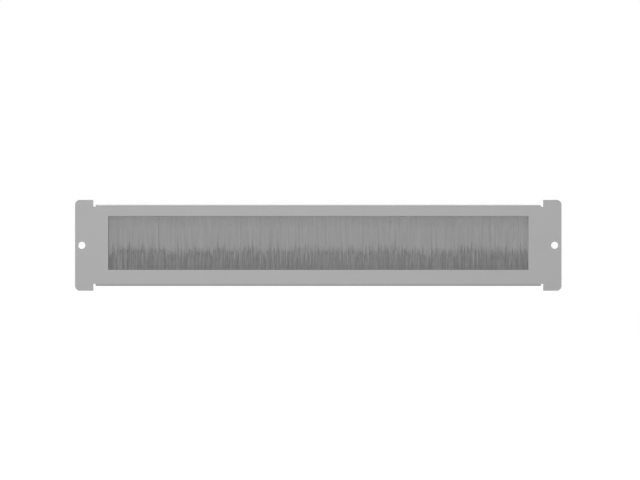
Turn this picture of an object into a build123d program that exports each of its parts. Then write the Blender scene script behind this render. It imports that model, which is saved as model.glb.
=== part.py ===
from build123d import *
import os
import random

# Brush cable grommet: a folded sheet-steel cover whose window is closed by two facing strip brushes.
# Cables pass through the window between the two rows of bristles.
# The origin lies midway between the two screw holes, on the back face that seats on the cabinet.
# +X runs along the cover, +Y goes back into the cabinet and +Z is up.

# Sheet of the cover
sheet = 1.2
inner_bend_radius = 0.4
edge_round = 0.25

# Cover outline, seen from the front
cover_length = 380.0
body_height = 63.5
lug_width = 14.2
lug_overhang = 3.75
lug_corner_radius = 3.8
relief_width = 1.8
side_band = 10.0
hole_diameter = 5.5
hole_edge_distance = 5.3

# How far the sheet above and below the window reaches past the mouth of the channel that it hides
mouth_cover_top = 0.85
mouth_cover_bottom = 4.45

# Strip channel, a bent U of thin galvanised steel, pinched at its mouth
channel_depth = 5.0
channel_height = 7.0
channel_wall = 0.8
channel_inner_radius = 0.4
pinch_height = 2.2
pinch = 0.35
strip_end_gap = 1.2

# Lips folded behind the strips, and the chisel marks staked into them that hold the strips forward
lip_setback = 0.8
stake_depth = 0.4
stake_width = 1.7
stake_length = 4.2
stake_taper = 0.6
stake_count = 6
stake_end_distance = 28.0

# Core wire that the bristles are folded round
wire_diameter = 1.6

# Bristle packs, with the two rows passing each other in front and behind by the overlap
fit_clearance = 0.05
pack_end_gap = 0.5
collar_height = 0.6
tip_overlap = 6.4
tip_half_thickness = 0.85
lean_front = 1.1
lean_back = 1.75

# Locks that the bristles part into, with grooves between them that deepen from the collar to the split
lock_width = 2.8
lock_width_scatter = 0.8
lock_tip_share = 0.5
ridge_height = 0.25
tip_ridge_height = 0.1
tip_edge_depth = 0.35
groove_depth = 0.65
collar_groove_share = 0.7
split_depth = 5.2
split_scatter = 1.4
tip_scatter = 4.4
tip_slant = 0.8
tip_sway = 0.5

# Derived sizes of the cover
half_length = cover_length / 2
half_body = body_height / 2
outer_bend_radius = inner_bend_radius + sheet
bend_start = half_body - outer_bend_radius
body_length = cover_length - 2 * (lug_width + relief_width)
lug_height = body_height + 2 * lug_overhang
lug_centre = half_length - lug_width / 2
hole_centre = half_length - hole_edge_distance

# Derived places of the strips, whose webs meet the flanges at the half seat
half_seat = half_body - sheet
half_mouth = half_seat - channel_height
half_lip_opening = half_mouth + lip_setback
rail_gap = channel_depth + stake_depth
lip_back = rail_gap + sheet
strip_length = body_length - 2 * strip_end_gap
strip_middle = channel_depth / 2
inner_half_depth = channel_depth / 2 - channel_wall
wire_height = channel_height - channel_wall - inner_half_depth

# Derived window
window_length = body_length - 2 * side_band
window_top = half_mouth - mouth_cover_top
window_bottom = mouth_cover_bottom - half_mouth

# Derived bristle packs
pack_length = strip_length - 2 * pack_end_gap
root_half_thickness = inner_half_depth - pinch - fit_clearance
mean_reach = half_mouth + tip_overlap / 2
lock_count = round(pack_length / lock_width)

upper = 1
lower = -1
front = -1
back = 1
lock_seeds = {upper: 5, lower: 8}


def folded_body():
    """The C-shaped run of the cover: front sheet, two flanges folded back and two lips behind them."""
    depth = sheet + lip_back
    outer = Pos(depth / 2 - sheet, 0) * RectangleRounded(depth, body_height, outer_bend_radius)
    inner = Pos(rail_gap / 2, 0) * RectangleRounded(rail_gap, 2 * half_seat, inner_bend_radius)
    opening = Pos(lip_back, 0) * Rectangle(2 * sheet + rail_gap, 2 * half_lip_opening)
    section = Plane.YZ * (outer - inner - opening)
    return extrude(section, body_length / 2, both=True)


def end_lugs():
    """Both flat screw lugs, on the strip of sheet that joins them through the body past the relief slits."""
    lug = Rectangle(lug_width, lug_height)
    lug = fillet(lug.vertices().sort_by(Axis.X)[2:], lug_corner_radius)
    web = Rectangle(cover_length - lug_width, 2 * bend_start)
    outline = web + Pos(lug_centre, 0) * lug + Pos(-lug_centre, 0) * Rot(0, 0, 180) * lug
    return extrude(Plane.XZ * outline, sheet)


def window_cut():
    """The window in the front sheet."""
    middle = (window_top + window_bottom) / 2
    outline = Pos(0, middle) * Rectangle(window_length, window_top - window_bottom)
    return extrude(Plane.XZ * outline, 2 * sheet, both=True)


def screw_hole_cuts():
    """One round screw hole in each lug."""
    hole = Circle(hole_diameter / 2)
    outline = Pos(hole_centre, 0) * hole + Pos(-hole_centre, 0) * hole
    return extrude(Plane.XZ * outline, 2 * sheet, both=True)


def lies_on_bend(edge):
    """True for a line where the flat front runs on into a bend."""
    middle = edge @ 0.5
    return abs(middle.X) < body_length / 2 and abs(middle.Z) > bend_start - edge_round


def softened(plate):
    """The cover with the cut edges of its front rounded, as its coating leaves them."""
    face = plate.faces().filter_by(Plane.XZ).sort_by(Axis.Y)[0]
    cut_edges = [edge for edge in face.edges() if not lies_on_bend(edge)]
    return fillet(cut_edges, edge_round)


def stakes(base_y):
    """The chisel marks along both lips, each a wedge that narrows forward from its base."""
    near = (stake_width, stake_depth, stake_length)
    far_low = (stake_taper, stake_taper)
    far_high = (stake_width - stake_taper, stake_length - stake_taper)
    mark = Rot(180, 0, 0) * Wedge(*near, *far_low, *far_high)
    span = body_length - 2 * stake_end_distance
    lip_middle = (half_lip_opening + half_seat) / 2
    marks = []
    for side in (upper, lower):
        for number in range(stake_count):
            x = span * (number / (stake_count - 1) - 0.5)
            marks.append(Pos(x, base_y - stake_depth / 2, side * lip_middle) * mark)
    return marks


def face_plate():
    """The cover, one sheet punched and folded, with marks staked through its lips against the strips."""
    plate = softened(folded_body() + end_lugs() - window_cut()) - screw_hole_cuts()
    return plate + stakes(rail_gap) - stakes(lip_back)


def channel_outline(inset, web_inset, web_radius):
    """The outline of a channel, or of what fits in it, with its mouth at height 0 and its web on top."""
    half = channel_depth / 2 - inset
    web = channel_height - web_inset
    points = [
        (pinch - half, 0),
        (half - pinch, 0),
        (half, pinch_height),
        (half, web),
        (-half, web),
        (-half, pinch_height),
    ]
    outline = make_face(Polyline(points, close=True))
    return fillet(outline.vertices().sort_by(Axis.Y)[-2:], web_radius)


def along_strip(section, side, length):
    """A section extruded along a strip, its mouth turned down in the upper rail and up in the lower one."""
    turn = Rot(0, 0, 0) if side == upper else Rot(180, 0, 0)
    placed = Plane.YZ * Pos(strip_middle, side * half_mouth) * turn * section
    return extrude(placed, length / 2, dir=(1, 0, 0), both=True)


def strip_channel(side):
    """The bent channel of one strip brush, its web against the flange and its mouth at the window."""
    outside = channel_outline(0, 0, channel_inner_radius + channel_wall)
    inside = channel_outline(channel_wall, channel_wall, channel_inner_radius)
    return along_strip(outside - inside, side, strip_length)


def core_wire(side):
    """The straight wire that locks the folded bristles in their channel."""
    section = Pos(0, wire_height) * Circle(wire_diameter / 2)
    return along_strip(section, side, strip_length)


def pack_root(side):
    """The root of a bristle pack, folded over the wire inside the channel and led out of its mouth."""
    inset = channel_wall + fit_clearance
    inside = channel_outline(inset, inset, channel_inner_radius)
    collar = Pos(0, -collar_height / 2) * Rectangle(2 * root_half_thickness, collar_height)
    wire = Pos(0, wire_height) * Circle(wire_diameter / 2 + fit_clearance)
    return along_strip(inside + collar - wire, side, pack_length)


def pack_point(side, face, x, reach, ridge=0.0):
    """A point on a pack's front or back, raised by a ridge, at a reach from the channel's mouth."""
    share = (reach - collar_height) / (mean_reach - collar_height)
    lean = -lean_front if side == upper else lean_back
    half_thickness = root_half_thickness + (tip_half_thickness - root_half_thickness) * share
    y = strip_middle + lean * share + face * (half_thickness + ridge)
    return (x, y, side * (half_mouth - reach))


def polygon(*points):
    """A flat face through some points."""
    return Face(Wire.make_polygon(points))


def partings(draw):
    """Where neighbouring locks part: each line's x, the reach of its split and its groove's depth."""
    lines = [(-pack_length / 2, collar_height, 0.0)]
    for number in range(1, lock_count):
        x = pack_length * (number / lock_count - 0.5) + draw.uniform(-1, 1) * lock_width_scatter
        reach = mean_reach - split_depth + draw.uniform(-1, 1) * split_scatter
        lines.append((x, reach, groove_depth))
    lines.append((pack_length / 2, collar_height, 0.0))
    return lines


def groove_start(side, face, line):
    """The bottom of a groove where it leaves the collar."""
    x, _, depth = line
    return pack_point(side, face, x, collar_height, -collar_groove_share * depth)


def groove_end(side, face, line):
    """The bottom of a groove where the two locks come apart."""
    x, split, depth = line
    return pack_point(side, face, x, split, -depth)


def tip_corner(side, face, corner):
    """A corner of a lock's tip, which is thinner at its edges than down its middle."""
    x, reach = corner
    return pack_point(side, face, x, reach, -tip_edge_depth)


def lock(side, draw, left, right):
    """The faces of one tapered lock of bristles with a ridge down its front and back and a slanted tip."""
    middle_x = (left[0] + right[0]) / 2
    half_tip = lock_tip_share * (right[0] - left[0]) / 2
    sway = draw.uniform(-1, 1) * tip_sway
    reach = mean_reach + draw.triangular(-1, 1) * tip_scatter
    slant = draw.uniform(-1, 1) * tip_slant
    ridge_reach = (left[1] + right[1]) / 2
    edges = (
        (left, (middle_x + sway - half_tip, reach - slant)),
        (right, (middle_x + sway + half_tip, reach + slant)),
    )

    faces = []
    for line, corner in edges:
        split = [groove_end(side, face, line) for face in (front, back)]
        tip = [tip_corner(side, face, corner) for face in (front, back)]
        faces.append(polygon(*split, *reversed(tip)))
    rims = []
    for face in (front, back):
        crest_start = pack_point(side, face, middle_x, collar_height)
        crest = pack_point(side, face, middle_x, ridge_reach, ridge_height)
        crest_end = pack_point(side, face, middle_x + sway, reach, tip_ridge_height)
        for line, corner in edges:
            split = groove_end(side, face, line)
            tip = tip_corner(side, face, corner)
            if line[1] > collar_height:
                faces.append(polygon(groove_start(side, face, line), crest_start, split))
            faces.append(polygon(crest_start, crest, split))
            faces.append(polygon(crest, tip, split))
            faces.append(polygon(crest, crest_end, tip))
        rims.append([tip_corner(side, face, edges[0][1]), crest_end, tip_corner(side, face, edges[1][1])])
    faces.append(polygon(*rims[0], *reversed(rims[1])))
    return faces


def bristles(side):
    """One bristle pack: its folded root, and the free part that ends in a ragged row of locks."""
    draw = random.Random(lock_seeds[side])
    lines = partings(draw)
    faces = []
    for left, right in zip(lines, lines[1:]):
        faces += lock(side, draw, left, right)
    rows = []
    for face in (front, back):
        row = [groove_start(side, face, lines[0])]
        for left, right in zip(lines, lines[1:]):
            row.append(pack_point(side, face, (left[0] + right[0]) / 2, collar_height))
            row.append(groove_start(side, face, right))
        rows.append(row)
    faces.append(polygon(*rows[0], *reversed(rows[1])))
    return pack_root(side) + Solid(Shell(faces))


parts = {
    "face_plate": face_plate(),
    "upper_strip_channel": strip_channel(upper),
    "upper_core_wire": core_wire(upper),
    "upper_bristles": bristles(upper),
    "lower_strip_channel": strip_channel(lower),
    "lower_core_wire": core_wire(lower),
    "lower_bristles": bristles(lower),
}

os.makedirs("parts", exist_ok=True)
for name, shape in parts.items():
    export_step(shape, f"parts/{name}.step")
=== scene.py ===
# Brush cable grommet: a powder-coated cover whose window is closed by two facing strip brushes.
# The frame gives the cover, the channels and the wires, which get their materials here.
# The two rows of bristles are built here fibre by fibre, in the places that the frame holds for them.
import math

import bpy
import numpy as np
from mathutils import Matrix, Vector


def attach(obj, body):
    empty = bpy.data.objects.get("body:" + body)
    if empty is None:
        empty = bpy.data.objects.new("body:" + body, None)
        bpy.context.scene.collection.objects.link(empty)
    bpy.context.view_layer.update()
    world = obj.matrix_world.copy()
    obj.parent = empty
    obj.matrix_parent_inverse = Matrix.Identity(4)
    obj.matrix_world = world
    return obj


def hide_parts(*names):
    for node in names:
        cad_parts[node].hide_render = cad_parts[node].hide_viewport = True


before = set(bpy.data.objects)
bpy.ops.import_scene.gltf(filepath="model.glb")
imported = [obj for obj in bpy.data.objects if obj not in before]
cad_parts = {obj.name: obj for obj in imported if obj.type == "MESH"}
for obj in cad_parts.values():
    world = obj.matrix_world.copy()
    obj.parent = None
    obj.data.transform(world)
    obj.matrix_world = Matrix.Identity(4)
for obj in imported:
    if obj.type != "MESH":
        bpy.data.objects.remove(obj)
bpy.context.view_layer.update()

# The bristles are sized in millimetres and made in metres. All the rest is in metres.
mm = 0.001

# The rows' places in the frame
half_row = 172.3
half_mouth = 23.55
wire_above_mouth = 4.5
row_middle = 2.5
mean_reach = 26.75
root_half_thickness = 1.22
tip_half_thickness = 0.82
lean = {"upper": -1.1, "lower": 1.75}
side_sign = {"upper": 1, "lower": -1}

# Each fibre is a closed three-sided rod that thins towards its tip
rod_sides = 3
free_radii = (0.148, 0.144, 0.136, 0.126, 0.100)
free_steps = (0.0, 0.4, 0.7, 0.87, 1.0)
hidden_root = 1.2
most_turn = 0.35

# Near a row's ends the roots are shown too, round the core wire
loop_zone = 2.0
loop_inner = 0.95
loop_outer = 1.5
loop_turns = (90, 45, 0)
looped_radius = 0.10

# Layers of fibres, from the front of a row to its back
layer_count = 8
layer_shift = 0.382
fibre_pitch = 0.25
along_jitter = 0.03
across_jitter = 0.05

# How single fibres differ
extra_reach = {"upper": 0.5, "lower": 1.5}
trim_slope = {"upper": -1.5, "lower": 0.0}
end_scatter = 2.0
most_extra = 14.5
kept_extra = (0.2, 1.0)
bow = {"upper": 0.035, "lower": 0.07}
tilt = {"upper": 0.08, "lower": 0.18}
stray_share = 0.012
stray_sway = 0.9
sway_growth = 1.5
seeds = {"upper": 11, "lower": 29}

# Locks one or two centimetres wide
lock_widths = (10.0, 26.0)
lock_reach = 1.1
lock_sway = 0.18

# Small tufts that draw together at their tips, some of them with long fibres
tuft_widths = (0.3, 0.65)
tuft_reach = 1.4
tuft_sway = 0.09
tuft_depth = 0.07
tuft_pull = (0.0, 0.3)
tuft_point = 1.6
point_balance = 0.4
gather_from = {"upper": 0.72, "lower": 0.78}
most_gather = 1.2
long_tufts = 0.22
long_in_tuft = 0.4
long_reach = (3.0, 14.5)

# Noise: the range that most of it fills. A fineness is its pace per metre on x, y and z.
noise_range = (0.28, 0.72)

# Powder coat, in linear greys
coat_grain = (2600, 2600, 2600)
coat_cloud = (60, 60, 60)
coat_peel = (650, 650, 650)
coat_grain_part = (0.0, 0.7)
coat_cloud_part = (0.0, 0.3)
coat_tone = (0.395, 0.430)
coat_roughness = (0.44, 0.56)
coat_relief = (0.00002, 0.5)

# Galvanised strip
strip_spangle = 330
strip_rolling = (40, 1800, 1800)
strip_rolling_part = (0.0, 0.6)
strip_spangle_part = (0.0, 0.4)
strip_tone = (0.36, 0.50)
strip_roughness = (0.56, 0.68)
strip_relief = (0.00001, 0.35)

# Drawn wire
wire_lines = (30, 4000, 4000)
wire_tone = (0.50, 0.68)
wire_roughness = (0.24, 0.36)
wire_relief = (0.000006, 0.3)

# Nylon
hair_fineness = (3200, 0, 60)
streak_fineness = (1150, 0, 14)
# The lower row's nylon is set darker than the upper row's.
darkest_nylon = {"upper": 0.487, "lower": 0.272}
hair_lift = {"upper": 0.02, "lower": 0.05}
streak_lift = {"upper": 0.02, "lower": 0.14}
nylon_roughness = (0.42, 0.58)
nylon_specular = 0.35

# Painted light: where each row is painted paler to stand in for light in its shade, first towards its
# tips, where the tips overlap in shade, and then towards its roots, in the shade of the window's edge:
# from which height, to which, and by how much
painted_light_zones = {
    "upper": ((0.010, -0.006, 0.028), (0.0135, 0.0245, 0.097), (0.0210, 0.0240, 0.08)),
    "lower": ((-0.0116, -0.0052, 0.087), (-0.0163, -0.0200, 0.10)),
}

# Studio
white = (1, 1, 1, 1)
fill_strength = 0.12
floor_reach = 6.0
floor_height = -0.3
floor_fineness = (30, 30, 30)
floor_tone = (0.19, 0.21)
floor_roughness = 0.9
floor_lift = 0.82
side_lamp_power = 3.6
side_lamp_size = 0.3
side_lamp_place = (-0.25, -1.6, 0.05)
camera_lens = 150
camera_sensor = 36
camera_place = (0.00134, -2.0842, 0.00412)

# Broad lights: the direction that each comes from, its strength, and its spread in degrees
broad_lights = {
    "front": ((-0.02, -1.0, 0.02), 1.37, 10),
    "behind": ((0.30, 1.0, 0.25), 1.9, 24),
    "overhead": ((-0.05, 0.12, 1.0), 2.4, 10),
}


def add(tree, kind, **settings):
    """A new node in a material's tree."""
    node = tree.nodes.new(kind)
    for name, value in settings.items():
        setattr(node, name, value)
    return node


def new_material(name):
    """A node material, its tree and its principled shader."""
    material = bpy.data.materials.new(name)
    material.use_nodes = True
    tree = material.node_tree
    return material, tree, tree.nodes["Principled BSDF"]


def noise(tree, fineness, detail=2.0):
    """Noise over the object's own coordinates, with its own fineness on each axis."""
    place = add(tree, "ShaderNodeTexCoord")
    scaled = add(tree, "ShaderNodeMapping")
    scaled.inputs["Scale"].default_value = fineness
    tree.links.new(place.outputs["Object"], scaled.inputs["Vector"])
    texture = add(tree, "ShaderNodeTexNoise")
    texture.inputs["Scale"].default_value = 1.0
    texture.inputs["Detail"].default_value = detail
    tree.links.new(scaled.outputs["Vector"], texture.inputs["Vector"])
    return texture.outputs[0]


def ranged(tree, value, low, high):
    """A noise value spread from its usual range to the range asked for."""
    spread = add(tree, "ShaderNodeMapRange")
    spread.inputs["From Min"].default_value = noise_range[0]
    spread.inputs["From Max"].default_value = noise_range[1]
    spread.inputs["To Min"].default_value = low
    spread.inputs["To Max"].default_value = high
    tree.links.new(value, spread.inputs["Value"])
    return spread.outputs["Result"]


def summed(tree, first, second):
    """Two values added."""
    total = add(tree, "ShaderNodeMath", operation="ADD")
    tree.links.new(first, total.inputs[0])
    tree.links.new(second, total.inputs[1])
    return total.outputs[0]


def blended(tree, factor, dark, light):
    """A colour between two greys. A mix node's inputs 6 and 7 and its output 2 are its colours."""
    mix = add(tree, "ShaderNodeMix", data_type="RGBA")
    mix.inputs[6].default_value = (dark, dark, dark, 1)
    mix.inputs[7].default_value = (light, light, light, 1)
    tree.links.new(factor, mix.inputs[0])
    return mix.outputs[2]


def bumped(tree, shader, height, distance, strength):
    """Fine relief on a shader's surface."""
    bump = add(tree, "ShaderNodeBump")
    bump.inputs["Distance"].default_value = distance
    bump.inputs["Strength"].default_value = strength
    tree.links.new(height, bump.inputs["Height"])
    tree.links.new(bump.outputs["Normal"], shader.inputs["Normal"])


def powder_coat():
    """Light grey powder coat with a faint orange peel and a fine grain."""
    material, tree, shader = new_material("powder_coat")
    grain = noise(tree, coat_grain)
    cloud = noise(tree, coat_cloud)
    tone = summed(tree, ranged(tree, grain, *coat_grain_part), ranged(tree, cloud, *coat_cloud_part))
    tree.links.new(blended(tree, tone, *coat_tone), shader.inputs["Base Color"])
    tree.links.new(ranged(tree, grain, *coat_roughness), shader.inputs["Roughness"])
    peel = noise(tree, coat_peel)
    bumped(tree, shader, peel, *coat_relief)
    return material


def strip_steel():
    """Galvanised sheet steel, rolled lengthwise, with a soft spangle."""
    material, tree, shader = new_material("strip_steel")
    spangle = add(tree, "ShaderNodeTexVoronoi")
    spangle.inputs["Scale"].default_value = strip_spangle
    place = add(tree, "ShaderNodeTexCoord")
    tree.links.new(place.outputs["Object"], spangle.inputs["Vector"])
    flake = add(tree, "ShaderNodeSeparateColor")
    tree.links.new(spangle.outputs["Color"], flake.inputs["Color"])
    rolling = noise(tree, strip_rolling)
    rolled = ranged(tree, rolling, *strip_rolling_part)
    flaked = ranged(tree, flake.outputs[0], *strip_spangle_part)
    tone = summed(tree, rolled, flaked)
    tree.links.new(blended(tree, tone, *strip_tone), shader.inputs["Base Color"])
    tree.links.new(ranged(tree, flake.outputs[0], *strip_roughness), shader.inputs["Roughness"])
    bumped(tree, shader, rolling, *strip_relief)
    shader.inputs["Metallic"].default_value = 1.0
    return material


def wire_steel():
    """Bright drawn wire with fine lines along its length."""
    material, tree, shader = new_material("wire_steel")
    drawn = noise(tree, wire_lines)
    tree.links.new(blended(tree, drawn, *wire_tone), shader.inputs["Base Color"])
    tree.links.new(ranged(tree, drawn, *wire_roughness), shader.inputs["Roughness"])
    bumped(tree, shader, drawn, *wire_relief)
    shader.inputs["Metallic"].default_value = 1.0
    return material


def painted_lift(tree, height, start, full, lift):
    """A painted lift of tone, light painted where shade falls, that grows from one height to another."""
    zone = add(tree, "ShaderNodeMapRange", interpolation_type="SMOOTHSTEP")
    zone.inputs["From Min"].default_value = start
    zone.inputs["From Max"].default_value = full
    zone.inputs["To Max"].default_value = lift
    tree.links.new(height, zone.inputs["Value"])
    return zone.outputs["Result"]


def fibre_nylon(side):
    """Grey nylon fibre in fine streaks, with painted light that makes it paler at tips and roots where
    shade falls. Its tone changes with x and z alone.
    """
    material, tree, shader = new_material(f"{side}_fibre")
    hair = noise(tree, hair_fineness, detail=1.0)
    streak = noise(tree, streak_fineness, detail=0.0)
    darkest = darkest_nylon[side]
    hairs = ranged(tree, hair, darkest, darkest + hair_lift[side])
    streaks = ranged(tree, streak, 0.0, streak_lift[side])
    tone = summed(tree, hairs, streaks)
    place = add(tree, "ShaderNodeTexCoord")
    axes = add(tree, "ShaderNodeSeparateXYZ")
    tree.links.new(place.outputs["Object"], axes.inputs[0])
    # Painted light: each zone lifts the tone where the row stands in shade, at its tips and at its
    # roots.
    for zone in painted_light_zones[side]:
        tone = summed(tree, tone, painted_lift(tree, axes.outputs["Z"], *zone))
    tree.links.new(blended(tree, tone, 0.0, 1.0), shader.inputs["Base Color"])
    tree.links.new(ranged(tree, hair, *nylon_roughness), shader.inputs["Roughness"])
    shader.inputs["Specular IOR Level"].default_value = nylon_specular
    return material


def bundles(draw, widths, x):
    """The row parted into bundles of fibres.

    Gives how many there are, and for each fibre its bundle's number, middle and half width.
    """
    edges = [0.0]
    while edges[-1] < 2 * half_row:
        edges.append(edges[-1] + draw.uniform(*widths))
    edges = np.array(edges) * (2 * half_row / edges[-1]) - half_row
    number = np.searchsorted(edges, x, side="right") - 1
    number = number.clip(0, len(edges) - 2)
    left, right = edges[number], edges[number + 1]
    return len(edges) - 1, number, (left + right) / 2, (right - left) / 2


def fibre_places(draw):
    """Every fibre's root along the row, and its place across it from -1 in front to 1 at the back."""
    columns = round(2 * half_row / fibre_pitch)
    along, across = [], []
    for layer in range(layer_count):
        shift = (0.5 + layer_shift * layer) % 1
        x = (np.arange(columns) + shift) / columns * 2 * half_row - half_row
        along.append(x + draw.uniform(-along_jitter, along_jitter, columns))
        middle = (layer + 0.5) / layer_count * 2 - 1
        across.append(middle + draw.uniform(-across_jitter, across_jitter, columns))
    inside = half_row - max(free_radii)
    return np.concatenate(along).clip(-inside, inside), np.concatenate(across).clip(-1, 1)


def fibre_lines(side, x, across, draw):
    """The points of each fibre's middle line, from just inside the channel's mouth to its tip."""
    count = len(x)
    lock_count, lock, _, _ = bundles(draw, lock_widths, x)
    tuft_count, tuft, middle, half = bundles(draw, tuft_widths, x)
    off_middle = (x - middle) / half

    extra = extra_reach[side] + draw.normal(0, end_scatter, count)
    extra += draw.normal(0, lock_reach, lock_count)[lock]
    extra += draw.normal(0, tuft_reach, tuft_count)[tuft]
    extra += tuft_point * (point_balance - off_middle**2) + trim_slope[side] * across
    long_tuft = draw.random(tuft_count) < long_tufts
    longer = (long_tuft * draw.uniform(*long_reach, tuft_count))[tuft]
    extra += longer * (draw.random(count) < long_in_tuft)
    pulled_in = most_extra * draw.uniform(*kept_extra, count) * np.sign(extra)
    reach = mean_reach + np.where(np.abs(extra) > most_extra, pulled_in, extra)

    sway = draw.normal(0, lock_sway, lock_count)[lock] + draw.normal(0, tuft_sway, tuft_count)[tuft]
    sway += draw.normal(0, tilt[side], count)
    sway += (draw.random(count) < stray_share) * draw.normal(0, stray_sway, count)
    pull = draw.uniform(*tuft_pull, tuft_count)[tuft]
    depth = draw.normal(0, tuft_depth, tuft_count)[tuft]
    bows = draw.normal(0, bow[side], (2, count))

    points = []
    for step in free_steps:
        below = (reach + hidden_root) * step - hidden_root
        share = below / mean_reach
        gather = ((share - gather_from[side]) / (1 - gather_from[side])).clip(0, most_gather)
        bend = math.sin(math.pi * step)
        px = x + (middle - x) * pull * gather + sway * np.abs(share) ** sway_growth + bows[0] * bend
        half_thickness = root_half_thickness + (tip_half_thickness - root_half_thickness) * share
        py = row_middle + (lean[side] + depth) * share + across * half_thickness + bows[1] * bend
        pz = side_sign[side] * (half_mouth - below)
        points.append(np.stack([px, py, pz], axis=1))
    return np.stack(points, axis=1)


def looped_roots(side, x, across):
    """The hidden part of a fibre, from the top of the core wire down its side to the channel's mouth."""
    ring = loop_inner + (loop_outer - loop_inner) * np.abs(across)
    face = np.where(across < 0, -1, 1)
    points = []
    for turn in loop_turns:
        angle = math.radians(turn)
        py = row_middle + face * ring * math.cos(angle)
        pz = side_sign[side] * (half_mouth + wire_above_mouth + ring * math.sin(angle))
        points.append(np.stack([x, py, pz], axis=1))
    return np.stack(points, axis=1)


def rods(lines, turns):
    """Corners, walls and end caps of closed rods along lines, all with as many points."""
    count, rings = lines.shape[:2]
    radius = np.full(rings, looped_radius)
    radius[-len(free_radii):] = free_radii
    corners = []
    for corner in range(rod_sides):
        angle = turns + corner * 2 * math.pi / rod_sides
        offset = np.stack([np.cos(angle), np.sin(angle), np.zeros(count)], axis=1)
        corners.append(lines + offset[:, None] * radius[None, :, None])
    places = np.stack(corners, axis=2).reshape(-1, 3)
    rod_start = (np.arange(count) * rings * rod_sides)[:, None, None, None]
    ring_start = (np.arange(rings - 1) * rod_sides)[None, :, None, None]
    first = np.arange(rod_sides)
    second = (first + 1) % rod_sides
    wall = np.stack([first, second, second + rod_sides, first + rod_sides], axis=1)
    walls = (rod_start + ring_start + wall[None, None]).reshape(-1, 4)
    root = rod_start.reshape(-1, 1) + first[::-1]
    tip = rod_start.reshape(-1, 1) + (rings - 1) * rod_sides + first
    return places, walls, np.concatenate([root, tip])


def flat_map(mesh, low, high):
    """A map that lays the row out flat as it is seen from in front."""
    layer = mesh.uv_layers.new(name="OFBake")
    corner = np.zeros(len(mesh.loops), np.int32)
    mesh.loops.foreach_get("vertex_index", corner)
    places = np.zeros(len(mesh.vertices) * 3)
    mesh.vertices.foreach_get("co", places)
    flat = places.reshape(-1, 3)[corner][:, [0, 2]]
    layer.data.foreach_set("uv", ((flat - low) / (high - low)).ravel())


def fibre_mesh(name, batches, material):
    """One object from batches of rods, smooth-shaded and mapped flat."""
    places, faces, start = [], [], 0
    for lines, turns in batches:
        corners, walls, caps = rods(lines, turns)
        places.append(corners)
        faces += (walls + start).tolist() + (caps + start).tolist()
        start += len(corners)
    places = np.concatenate(places) * mm
    mesh = bpy.data.meshes.new(name)
    mesh.from_pydata(places, [], faces)
    mesh.update()
    mesh.polygons.foreach_set("use_smooth", np.ones(len(mesh.polygons), bool))
    flat_map(mesh, places.min(axis=0)[[0, 2]], places.max(axis=0)[[0, 2]])
    mesh.materials.append(material)
    piece = bpy.data.objects.new(name, mesh)
    bpy.context.scene.collection.objects.link(piece)
    return piece


def bristle_row(side, material):
    """One brush's bristles, in a left and a right half that both stand for its CAD solid."""
    draw = np.random.default_rng(seeds[side])
    x, across = fibre_places(draw)
    lines = fibre_lines(side, x, across, draw)
    # Each fibre turns a flat side outwards, to the front or to the back
    turns = math.radians(-90) + draw.uniform(-most_turn, most_turn, len(x)) + math.pi * (across < 0)
    near_end = np.abs(x) > half_row - loop_zone
    for half, chosen in (("left", x < 0), ("right", x >= 0)):
        shown_root = chosen & near_end
        plain = chosen & ~near_end
        roots = looped_roots(side, x[shown_root], across[shown_root])
        looped = np.concatenate([roots, lines[shown_root]], axis=1)
        batches = [(looped, turns[shown_root]), (lines[plain], turns[plain])]
        piece = fibre_mesh(f"{side}_fibres_{half}", batches, material)
        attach(piece, "root")
        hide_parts(f"{side}_bristles")


def dress(node, material):
    """A CAD node's own material slots filled with a material."""
    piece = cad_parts[node]
    for place in piece.material_slots:
        place.material = material


def placed_lamp(name, light, at):
    """A lamp at a point, looking at the cover's middle."""
    lamp = bpy.data.objects.new(name, light)
    lamp.location = at
    lamp.rotation_euler = (-Vector(at)).to_track_quat("-Z", "Y").to_euler()
    bpy.context.scene.collection.objects.link(lamp)


def broad_light(name, source, strength, spread):
    """An even soft light from one direction, as a large panel far off gives it."""
    light = bpy.data.lights.new(name, "SUN")
    light.energy = strength
    light.angle = math.radians(spread)
    placed_lamp(name, light, source)


def side_lamp():
    """A weak soft lamp in front, left of the middle, which leaves the right end a little darker."""
    light = bpy.data.lights.new("side", "AREA")
    light.energy = side_lamp_power
    light.size = side_lamp_size
    placed_lamp("side", light, side_lamp_place)


def seen_directly(tree):
    """1 for rays from the camera, from a mirror-like surface or through a clear one, and otherwise 0."""
    path = add(tree, "ShaderNodeLightPath")
    either = add(tree, "ShaderNodeMath", operation="MAXIMUM")
    tree.links.new(path.outputs["Is Camera Ray"], either.inputs[0])
    tree.links.new(path.outputs["Is Glossy Ray"], either.inputs[1])
    any_of = add(tree, "ShaderNodeMath", operation="MAXIMUM")
    tree.links.new(either.outputs[0], any_of.inputs[0])
    tree.links.new(path.outputs["Is Transmission Ray"], any_of.inputs[1])
    return any_of.outputs[0]


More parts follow.
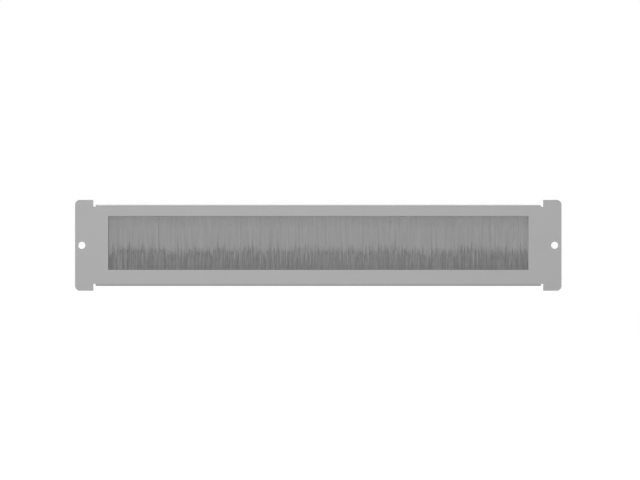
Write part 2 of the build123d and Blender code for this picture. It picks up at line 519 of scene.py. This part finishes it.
def studio_world():
    """A weak even fill, with a white background."""
    world = bpy.data.worlds.new("studio")
    bpy.context.scene.world = world
    world.use_nodes = True
    tree = world.node_tree
    tree.nodes.clear()
    fill = add(tree, "ShaderNodeBackground")
    fill.inputs["Color"].default_value = white
    fill.inputs["Strength"].default_value = fill_strength
    backdrop = add(tree, "ShaderNodeBackground")
    backdrop.inputs["Color"].default_value = white
    mix = add(tree, "ShaderNodeMixShader")
    tree.links.new(seen_directly(tree), mix.inputs[0])
    tree.links.new(fill.outputs[0], mix.inputs[1])
    tree.links.new(backdrop.outputs[0], mix.inputs[2])
    out = add(tree, "ShaderNodeOutputWorld")
    tree.links.new(mix.outputs[0], out.inputs["Surface"])


def pale_floor():
    """A wide pale floor well below the cover, white to the camera but for the cover's shadow."""
    mesh = bpy.data.meshes.new("floor")
    corners = [
        (-floor_reach, -floor_reach, floor_height),
        (floor_reach, -floor_reach, floor_height),
        (floor_reach, floor_reach, floor_height),
        (-floor_reach, floor_reach, floor_height),
    ]
    mesh.from_pydata(corners, [], [(0, 1, 2, 3)])
    floor = bpy.data.objects.new("floor", mesh)
    bpy.context.scene.collection.objects.link(floor)
    material, tree, shader = new_material("pale_floor")
    mottle = noise(tree, floor_fineness)
    tree.links.new(blended(tree, mottle, *floor_tone), shader.inputs["Base Color"])
    shader.inputs["Roughness"].default_value = floor_roughness
    shader.inputs["Emission Color"].default_value = white
    lift = add(tree, "ShaderNodeMath", operation="MULTIPLY")
    lift.inputs[1].default_value = floor_lift
    tree.links.new(seen_directly(tree), lift.inputs[0])
    tree.links.new(lift.outputs[0], shader.inputs["Emission Strength"])
    mesh.materials.append(material)


def front_camera():
    """The camera straight in front, far off, a little right of and above the cover's middle."""
    lens = bpy.data.cameras.new("front")
    lens.lens = camera_lens
    lens.sensor_width = camera_sensor
    camera = bpy.data.objects.new("front", lens)
    camera.location = camera_place
    camera.rotation_euler = (math.radians(90), 0, 0)
    bpy.context.scene.collection.objects.link(camera)
    bpy.context.scene.camera = camera


front_camera()
dress("face_plate", powder_coat())
steel, wire = strip_steel(), wire_steel()
for row in ("upper", "lower"):
    dress(f"{row}_strip_channel", steel)
    dress(f"{row}_core_wire", wire)
    bristle_row(row, fibre_nylon(row))

studio_world()
pale_floor()
for name, (source, strength, spread) in broad_lights.items():
    broad_light(name, source, strength, spread)
side_lamp()

bpy.context.scene.view_settings.view_transform = "Standard"
